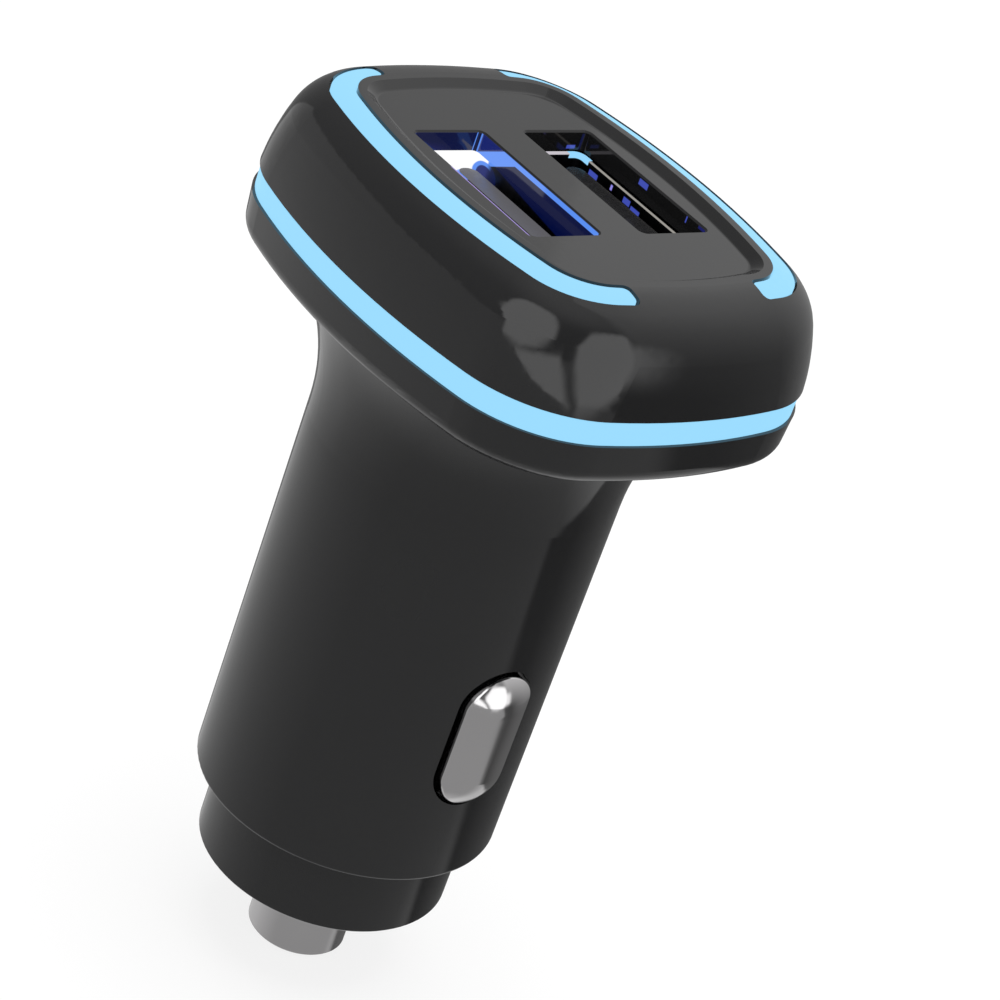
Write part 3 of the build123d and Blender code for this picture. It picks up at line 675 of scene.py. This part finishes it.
def contact_nickel():
    """The side contacts' nickel, its upper end domed further than the crest alone."""
    material, tree, shader = plated("contact_nickel", *CONTACT_NICKEL)
    x, y, z = places(tree)
    facing = sum_up(tree, "SIGN", sum_up(tree, "MULTIPLY", y, -1.0))
    above = sum_up(tree, "MAXIMUM", sum_up(tree, "SUBTRACT", z, CONTACT_DOME_FROM), 0.0)
    up = sum_up(tree, "MULTIPLY", above, CONTACT_DOME_RISE)
    aside = sum_up(tree, "SUBTRACT", sum_up(tree, "MULTIPLY", x, facing), CONTACT_DOME_MIDDLE)
    aside = sum_up(tree, "MINIMUM", sum_up(tree, "MULTIPLY", aside, CONTACT_DOME_SWEEP), 0.0)
    aside = sum_up(tree, "MAXIMUM", aside, CONTACT_DOME_SWEEP_MOST)
    aside = sum_up(tree, "MULTIPLY", aside, spread(tree, above, 0.0, CONTACT_DOME_SWEEP_IN))
    aside = sum_up(tree, "MULTIPLY", aside, facing)
    lean = put(tree, "ShaderNodeCombineXYZ", None, {"X": aside, "Z": up}).outputs[0]
    normal = put(tree, "ShaderNodeNewGeometry").outputs["Normal"]
    domed = sum_vectors(tree, "NORMALIZE", sum_vectors(tree, "ADD", normal, lean))
    feed(tree, shader.inputs["Normal"], domed)
    return material


def finish_nodes():
    """Gives each carried-over node its finish."""
    terminal = plated("terminal_gold", *TERMINAL_GOLD)[0]
    guide = guide_lit()
    board = board_laminate()
    can = plated("can_aluminium", *CAN_ALUMINIUM)[0]
    chip = moulded("chip_epoxy", *CHIP_EPOXY, FINE_RELIEF)[0]
    contact = contact_nickel()
    lamp = lamp_dome()
    finishes = {
        "top_cover": cover_gloss_and_painted_light(),
        "light_band": guide,
        "light_strip_left": guide,
        "light_strip_right": guide,
        "barrel_housing": black_gloss("barrel_gloss")[0],
        "nose_cap": black_gloss("nose_gloss")[0],
        "centre_pin": plated("pin_nickel", *PIN_NICKEL)[0],
        "spring_seat": plated("seat_brass", *SEAT_BRASS)[0],
        "side_contact_front": contact,
        "side_contact_rear": contact,
        "inner_frame": moulded("frame_nylon", *FRAME_NYLON, FINE_RELIEF)[0],
        "main_board": board,
        "port_board": board,
        "input_capacitor": can,
        "output_capacitor": can,
        "inductor_core": moulded("core_ferrite", *CORE_FERRITE, FERRITE_RELIEF)[0],
        "inductor_winding": copper_turns(),
        "controller_chip": chip,
        "rectifier": chip,
        "fuse": moulded("fuse_coating", *FUSE_COATING)[0],
        "lamp_front": lamp,
        "lamp_rear": lamp,
        "usb_shell_left": sleeve_left(),
        "usb_shell_right": sleeve_right(),
        "usb_tongue_left": tongue_left_black_and_painted_light(),
        "usb_tongue_right": moulded("tongue_black", *TONGUE_RIGHT_BLACK)[0],
    }
    for name, node in NODES.items():
        finish = terminal if name.startswith("usb_terminal") else finishes.get(name)
        if finish:
            node.data.materials.clear()
            node.data.materials.append(finish)


def mesh_piece(name, shape, material):
    """A new piece from a finished shape."""
    mesh = bpy.data.meshes.new(name)
    bmesh.ops.recalc_face_normals(shape, faces=shape.faces)
    shape.to_mesh(mesh)
    shape.free()
    for polygon in mesh.polygons:
        polygon.use_smooth = True
    mesh.materials.append(material)
    piece = bpy.data.objects.new(name, mesh)
    bpy.context.scene.collection.objects.link(piece)
    return piece


def bridge_rings(shape, rings):
    """Skins a row of equal rings and closes both ends."""
    for first, second in zip(rings, rings[1:]):
        for side in range(len(first)):
            after = (side + 1) % len(first)
            shape.faces.new((first[side], first[after], second[after], second[side]))
    shape.faces.new(rings[0])
    shape.faces.new(rings[-1])


def coil_height(turn, low, high):
    """The wire's height after so many turns: close turns at both ends, even pitch between."""
    close = COIL_DEAD_TURNS * COIL_WIRE
    if turn < COIL_DEAD_TURNS:
        return low + turn * COIL_WIRE
    if turn > COIL_DEAD_TURNS + COIL_TURNS:
        return high - (2 * COIL_DEAD_TURNS + COIL_TURNS - turn) * COIL_WIRE
    share = (turn - COIL_DEAD_TURNS) / COIL_TURNS
    return low + close + share * (high - low - 2 * close)


def build_pin_coil(material):
    """The round-wire coil behind the pin."""
    low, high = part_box("pin_spring")
    radius = high.x - COIL_WIRE / 2
    turns = 2 * COIL_DEAD_TURNS + COIL_TURNS
    shape = bmesh.new()
    rings = []
    for step in range(turns * COIL_STEPS + 1):
        turn = step / COIL_STEPS
        angle = 2 * math.pi * turn
        outward = Vector((math.cos(angle), math.sin(angle), 0))
        centre = outward * radius
        centre.z = coil_height(turn, low.z + COIL_WIRE / 2, high.z - COIL_WIRE / 2)
        ring = []
        for side in range(WIRE_SIDES):
            round_wire = 2 * math.pi * side / WIRE_SIDES
            offset = outward * math.cos(round_wire) + Vector((0, 0, math.sin(round_wire)))
            ring.append(shape.verts.new(centre + offset * (COIL_WIRE / 2)))
        rings.append(ring)
    bridge_rings(shape, rings)
    coil = mesh_piece("pin_coil", shape, material)
    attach(coil, "charger_body")
    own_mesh(coil)
    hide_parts("pin_spring")


def leaf_section(half_width):
    """The leaf's cross-section, with its long edges broken: places across it and through it."""
    inner = half_width - LEAF_EDGE
    upper = LEAF_THICKNESS - LEAF_EDGE
    return (
        (-inner, 0), (inner, 0), (half_width, LEAF_EDGE), (half_width, upper),
        (inner, LEAF_THICKNESS), (-inner, LEAF_THICKNESS), (-half_width, upper), (-half_width, LEAF_EDGE),
    )


def build_contact_leaf(side, outward, material):
    """A bowed leaf behind one side contact."""
    low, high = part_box(f"contact_leaf_{side}")
    foot = high.y if outward < 0 else low.y
    rise = high.y - low.y - LEAF_THICKNESS
    section = leaf_section((high.x - low.x) / 2)
    shape = bmesh.new()
    rings = []
    for step in range(LEAF_STEPS + 1):
        share = step / LEAF_STEPS
        height = low.z + share * (high.z - low.z)
        bow = rise * (1 - math.cos(2 * math.pi * share)) / 2
        ring = [shape.verts.new((x, foot + outward * (bow + depth), height)) for x, depth in section]
        rings.append(ring)
    bridge_rings(shape, rings)
    leaf = mesh_piece(f"leaf_spring_{side}", shape, material)
    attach(leaf, "charger_body")
    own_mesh(leaf)
    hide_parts(f"contact_leaf_{side}")


# Studio
FLOOR_DROP = 0.15 * MM
FLOOR_REACH = 2.0
FLOOR_CELLS = 4
FLOOR_DARK = (0.20, 0.20, 0.20)
FLOOR_LIGHT = (0.22, 0.22, 0.22)
FLOOR_DRIFT_SCALE = 6.0
FLOOR_DRIFT_DETAIL = 2.0
FLOOR_GLOW = 0.8
FLOOR_DULL = (0.75, 0.75, 0.75)
SKY_WHITE = (1.0, 1.0, 1.0)
SKY_FILL = 0.75
SKY_SEEN = 1.0
OVERHEAD_SIZE = 0.6
OVERHEAD_POWER = 3.0
OVERHEAD_PLACE = (0, 0, 0.7)
TENT_REACH = 6.0
TENT_SEGMENTS = 96
TENT_RINGS = 64
TENT_FRONT = math.radians(-135)
TENT_CENTRE = (0, 0, 20 * MM)
SOFT_BOX_LEVEL = 1.76

# Where the tent's pale ground ends, by ramps: two bearings in degrees, then the value at each
SKIRTING_LEFT = (-172.0, -126.0, -62.0, 0.0)
SKIRTING_FRONT = (-95.0, -55.0, 18.5, 8.0)
SKIRTING_RIGHT = (18.0, 87.0, 0.0, -38.0)
SKIRTING_FAR = (87.0, 130.0, 0.0, -12.0)
SKIRTING_EDGE = 1.5

# Levels of the pale ground
GROUND_LEFT = (-110.0, -40.0, 0.235, 0.0)
GROUND_LEFT_FOOT = (-18.0, 4.0, 1.0, 0.38)
GROUND_RIGHT = (90.0, 118.0, 0.39, 0.64)
GROUND_BELOW = (-74.0, -48.0, 0.24, 0.0)

# Levels of the dim wall, of the gap in it, and of its two far ends
WALL_CLIMB = (38.0, 78.0, 0.22, 0.58)
GAP_TURN = (-16.0, 24.0)
GAP_TURN_EDGE = 8.0
GAP_RISE = (36.0, 54.0, 1.0, 0.0)
GAP_LEVEL = 0.14
RIGHT_END_TURN = (55.0, 75.0)
RIGHT_END_CLIMB = (-16.0, 70.0, 0.0, 0.80)
RIGHT_END_SWING = (81.0, 135.0, 0.08, 0.33)
RIGHT_END_FOOT = (-32.0, -14.0, 0.42, 1.0)
RIGHT_END_DIMMEST = 0.085
RIGHT_END_BRIGHTEST = 0.94
LEFT_END_TURN = (-178.0, -160.0, 1.0, 0.0)
LEFT_END_CLIMB = (-10.0, 40.0, 0.25, 0.7)

# Bright wing beside the right soft box
WING_LEVEL = 1.35
WING_RISE = (-8.0, 25.0)
WING_RISE_EDGE = 7.0
WING_TURN = (60.0, 77.0)
WING_TURN_EDGE = 6.0

# Upper part of the left soft box
HIGH_LEFT_MIDDLE = (-32.5, 24.0)
HIGH_LEFT_REACH = (28.0, 31.0)
HIGH_LEFT_POWER = 3.0
HIGH_LEFT_EDGE = 0.35
HIGH_LEFT_FOOT = (12.5, 17.5)
HIGH_LEFT_FOOT_SLOPE = 0.3
HIGH_LEFT_FOOT_FROM = -30.0
HIGH_LEFT_SIDE = (-43.0, -39.0)
HIGH_LEFT_SIDE_SLOPE = -0.83
HIGH_LEFT_SIDE_TO = 22.0

# Lower part of the left soft box
LOW_LEFT_FOOT = (-6.8, -5.6)
LOW_LEFT_FOOT_SLOPE = -0.338
LOW_LEFT_TOP = (7.5, 12.5, 1.0, 0.0)
LOW_LEFT_TOP_SLOPE = 0.15
LOW_LEFT_SIDE = (10.0, 18.0, 1.0, 0.0)
LOW_LEFT_SIDE_SLOPE = -0.88

# Right soft box
RIGHT_MIDDLE = (45.0, 13.5)
RIGHT_REACH = (31.0, 31.5)
RIGHT_POWER = 2.6
RIGHT_EDGE = 0.4
RIGHT_UPPER = (4.5, 10.5)
RIGHT_UPPER_SLOPE = 0.45
RIGHT_UPPER_FROM = 17.0
RIGHT_LOWER = (18.5, 26.5)
RIGHT_LOWER_SLOPE = -0.76
RIGHT_LOWER_TO = 15.0
RIGHT_SIDE = (62.5, 69.5, 1.0, 0.0)


def bearings(tree):
    """How far round from the front of the studio a point of the tent lies, and how high, in degrees."""
    where = whereabouts(tree)
    toward = (math.cos(TENT_FRONT), math.sin(TENT_FRONT), 0.0)
    across = (-math.sin(TENT_FRONT), math.cos(TENT_FRONT), 0.0)
    ahead = sum_vectors(tree, "DOT_PRODUCT", where, toward, "Value")
    aside = sum_vectors(tree, "DOT_PRODUCT", where, across, "Value")
    reach = sum_vectors(tree, "LENGTH", where, result="Value")
    height = put(tree, "ShaderNodeSeparateXYZ", None, {0: where}).outputs["Z"]
    turn = sum_up(tree, "ARCTAN2", aside, ahead)
    rise = sum_up(tree, "ARCSINE", sum_up(tree, "DIVIDE", height, reach))
    degrees = 180 / math.pi
    return sum_up(tree, "MULTIPLY", turn, degrees), sum_up(tree, "MULTIPLY", rise, degrees)


def cover_level(tree, mask, under, over):
    """One level laid over another where a mask holds."""
    return spread(tree, mask, 0.0, 1.0, under, over, "LINEAR")


def tent_skirting(tree, turn):
    """The height at which the tent's pale ground ends, all round."""
    left = spread(tree, turn, *SKIRTING_LEFT, "LINEAR")
    front = spread(tree, turn, *SKIRTING_FRONT, "LINEAR")
    right = spread(tree, turn, *SKIRTING_RIGHT, "LINEAR")
    far = spread(tree, turn, *SKIRTING_FAR, "LINEAR")
    return sum_up(tree, "ADD", sum_up(tree, "ADD", left, front), sum_up(tree, "ADD", right, far))


def tent_ground(tree, turn, rise):
    """The level of the pale ground, lighter towards both far ends and, on the left, towards its foot."""
    left = spread(tree, turn, *GROUND_LEFT, "LINEAR")
    foot = spread(tree, rise, *GROUND_LEFT_FOOT, "LINEAR")
    right = spread(tree, turn, *GROUND_RIGHT, "LINEAR")
    below = spread(tree, rise, *GROUND_BELOW)
    return sum_up(tree, "ADD", sum_up(tree, "MULTIPLY", left, foot), sum_up(tree, "ADD", right, below))


def tent_wall(tree, turn, rise):
    """The level of the dim wall, lighter towards its top and its far ends."""
    level = spread(tree, rise, *WALL_CLIMB)
    gap = all_of(tree, within(tree, turn, *GAP_TURN, GAP_TURN_EDGE), spread(tree, rise, *GAP_RISE))
    level = cover_level(tree, gap, level, GAP_LEVEL)
    climb = spread(tree, rise, *RIGHT_END_CLIMB, "LINEAR")
    swing = spread(tree, turn, *RIGHT_END_SWING)
    foot = spread(tree, rise, *RIGHT_END_FOOT)
    lit = sum_up(tree, "MULTIPLY", sum_up(tree, "ADD", climb, swing), foot)
    lit = sum_up(tree, "MAXIMUM", sum_up(tree, "MINIMUM", lit, RIGHT_END_BRIGHTEST), RIGHT_END_DIMMEST)
    level = cover_level(tree, spread(tree, turn, *RIGHT_END_TURN), level, lit)
    left = spread(tree, turn, *LEFT_END_TURN)
    return cover_level(tree, left, level, spread(tree, rise, *LEFT_END_CLIMB, "LINEAR"))


def high_left_box(tree, turn, rise):
    """The upper part of the left soft box, with a foot that climbs to the right."""
    round_box = oval(tree, turn, rise, HIGH_LEFT_MIDDLE, HIGH_LEFT_REACH, HIGH_LEFT_POWER, HIGH_LEFT_EDGE)
    along_foot = sum_up(tree, "MAXIMUM", turn, HIGH_LEFT_FOOT_FROM)
    foot = spread(tree, skewed(tree, rise, along_foot, HIGH_LEFT_FOOT_SLOPE), *HIGH_LEFT_FOOT)
    along_side = sum_up(tree, "MINIMUM", rise, HIGH_LEFT_SIDE_TO)
    side = spread(tree, skewed(tree, turn, along_side, HIGH_LEFT_SIDE_SLOPE), *HIGH_LEFT_SIDE)
    return all_of(tree, side, round_box, foot)


def low_left_box(tree, turn, rise):
    """The lower part of the left soft box, a fin that slants down to the right."""
    foot = spread(tree, skewed(tree, rise, turn, LOW_LEFT_FOOT_SLOPE), *LOW_LEFT_FOOT)
    top = spread(tree, skewed(tree, rise, turn, LOW_LEFT_TOP_SLOPE), *LOW_LEFT_TOP)
    side = spread(tree, skewed(tree, turn, rise, LOW_LEFT_SIDE_SLOPE), *LOW_LEFT_SIDE)
    return all_of(tree, foot, top, side)


def right_box(tree, turn, rise):
    """The right soft box: round at its top, slanting in at its foot."""
    along_upper = sum_up(tree, "MAXIMUM", rise, RIGHT_UPPER_FROM)
    upper = spread(tree, skewed(tree, turn, along_upper, RIGHT_UPPER_SLOPE), *RIGHT_UPPER)
    along_lower = sum_up(tree, "MINIMUM", rise, RIGHT_LOWER_TO)
    lower = spread(tree, skewed(tree, turn, along_lower, RIGHT_LOWER_SLOPE), *RIGHT_LOWER)
    side = spread(tree, turn, *RIGHT_SIDE)
    round_box = oval(tree, turn, rise, RIGHT_MIDDLE, RIGHT_REACH, RIGHT_POWER, RIGHT_EDGE)
    return all_of(tree, upper, lower, side, round_box)


def tent_level(tree):
    """The strength of the tent's light all round: ground, wall, wing and soft boxes."""
    turn, rise = bearings(tree)
    over = sum_up(tree, "SUBTRACT", rise, tent_skirting(tree, turn))
    wall = step_up(tree, over, 0.0, SKIRTING_EDGE)
    level = cover_level(tree, wall, tent_ground(tree, turn, rise), tent_wall(tree, turn, rise))
    wing_rise = within(tree, rise, *WING_RISE, WING_RISE_EDGE)
    wing_turn = within(tree, turn, *WING_TURN, WING_TURN_EDGE)
    level = cover_level(tree, all_of(tree, wing_rise, wing_turn), level, WING_LEVEL)
    left_boxes = sum_up(tree, "MAXIMUM", high_left_box(tree, turn, rise), low_left_box(tree, turn, rise))
    boxes = sum_up(tree, "MAXIMUM", left_boxes, right_box(tree, turn, rise))
    return cover_level(tree, boxes, level, SOFT_BOX_LEVEL)


def build_tent():
    """A round tent with a pale ground, a dim wall and two soft boxes, which only the gloss shows."""
    material, tree, output = bare_material("tent_cloth")
    cloth = put(tree, "ShaderNodeEmission", None, {"Strength": tent_level(tree)})
    tree.links.new(cloth.outputs[0], output.inputs["Surface"])
    shape = bmesh.new()
    bmesh.ops.create_uvsphere(shape, u_segments=TENT_SEGMENTS, v_segments=TENT_RINGS, radius=TENT_REACH)
    tent = mesh_piece("light_tent", shape, material)
    tent.location = TENT_CENTRE
    tent.visible_camera = False
    tent.visible_diffuse = False
    tent.visible_transmission = False
    tent.visible_volume_scatter = False
    tent.visible_shadow = False


def looked_at(tree):
    """1 for what is seen, also in gloss or through glass, and 0 for light that only falls on the charger."""
    path = tree.nodes.new("ShaderNodeLightPath").outputs
    seen = sum_up(tree, "MAXIMUM", path["Is Camera Ray"], path["Is Glossy Ray"])
    return sum_up(tree, "MAXIMUM", seen, path["Is Transmission Ray"])


def build_floor(height):
    """A pale floor that reads as white and keeps the charger's shadow."""
    material, tree, output = bare_material("pale_floor")
    wander = drift(tree, whereabouts(tree), FLOOR_DRIFT_SCALE, FLOOR_DRIFT_DETAIL)
    pale = blend_colours(tree, wander, FLOOR_DARK, FLOOR_LIGHT)
    shade = put(tree, "ShaderNodeBsdfDiffuse", None, {"Color": pale})
    glow = put(tree, "ShaderNodeEmission", None, {"Strength": FLOOR_GLOW})
    bright = put(tree, "ShaderNodeAddShader", None, {0: glow.outputs[0], 1: shade.outputs[0]})
    dull = put(tree, "ShaderNodeBsdfDiffuse", None, {"Color": FLOOR_DULL})
    sockets = {0: looked_at(tree), 1: dull.outputs[0], 2: bright.outputs[0]}
    mix = put(tree, "ShaderNodeMixShader", None, sockets)
    tree.links.new(mix.outputs[0], output.inputs["Surface"])
    shape = bmesh.new()
    bmesh.ops.create_grid(shape, x_segments=FLOOR_CELLS, y_segments=FLOOR_CELLS, size=FLOOR_REACH)
    bmesh.ops.translate(shape, verts=shape.verts, vec=(0, 0, height))
    floor = mesh_piece("floor", shape, material)
    floor.visible_glossy = False


def build_world():
    """White where it is seen, and a soft even fill on the charger."""
    world = bpy.data.worlds.new("studio")
    bpy.context.scene.world = world
    world.use_nodes = True
    tree = world.node_tree
    tree.nodes.clear()
    output = tree.nodes.new("ShaderNodeOutputWorld")
    level = spread(tree, looked_at(tree), 0.0, 1.0, SKY_FILL, SKY_SEEN, "LINEAR")
    sky = put(tree, "ShaderNodeBackground", None, {"Color": SKY_WHITE, "Strength": level})
    tree.links.new(sky.outputs[0], output.inputs["Surface"])


def build_key_light():
    """One large soft box overhead."""
    lamp = bpy.data.lights.new("overhead_softbox", "AREA")
    lamp.shape = "DISK"
    lamp.size = OVERHEAD_SIZE
    lamp.energy = OVERHEAD_POWER
    light = bpy.data.objects.new("overhead_softbox", lamp)
    light.location = OVERHEAD_PLACE
    light.visible_glossy = False
    light.visible_camera = False
    bpy.context.scene.collection.objects.link(light)


def build_camera():
    """The camera at the photograph's angle, with its tilt."""
    azimuth, elevation, roll = CAMERA_AZIMUTH, CAMERA_ELEVATION, CAMERA_ROLL
    level = math.cos(elevation)
    back = Vector((math.sin(azimuth) * level, -math.cos(azimuth) * level, math.sin(elevation)))
    right = Vector((math.cos(azimuth), math.sin(azimuth), 0))
    up = back.cross(right)
    camera_x = right * math.cos(roll) + up * math.sin(roll)
    camera_y = up * math.cos(roll) - right * math.sin(roll)
    turn = Matrix((camera_x, camera_y, back)).transposed().to_4x4()
    data = bpy.data.cameras.new("photo_camera")
    data.lens = CAMERA_LENS
    data.sensor_width = CAMERA_SENSOR
    data.clip_start = CAMERA_NEAR
    data.clip_end = CAMERA_FAR
    camera = bpy.data.objects.new("photo_camera", data)
    camera.matrix_world = Matrix.Translation(CAMERA_PLACE) @ turn
    bpy.context.scene.collection.objects.link(camera)
    bpy.context.scene.camera = camera


def build_studio():
    """Floor, sky, lamp and the tent that the gloss shows."""
    floor_z = cad_box[0][2] - FLOOR_DROP
    build_floor(floor_z)
    build_world()
    build_key_light()
    build_tent()


finish_nodes()
steel = plated("spring_steel", *SPRING_STEEL)[0]
build_pin_coil(steel)
build_contact_leaf("front", -1, steel)
build_contact_leaf("rear", 1, steel)
build_studio()
build_camera()
bpy.context.scene.view_settings.view_transform = "Standard"
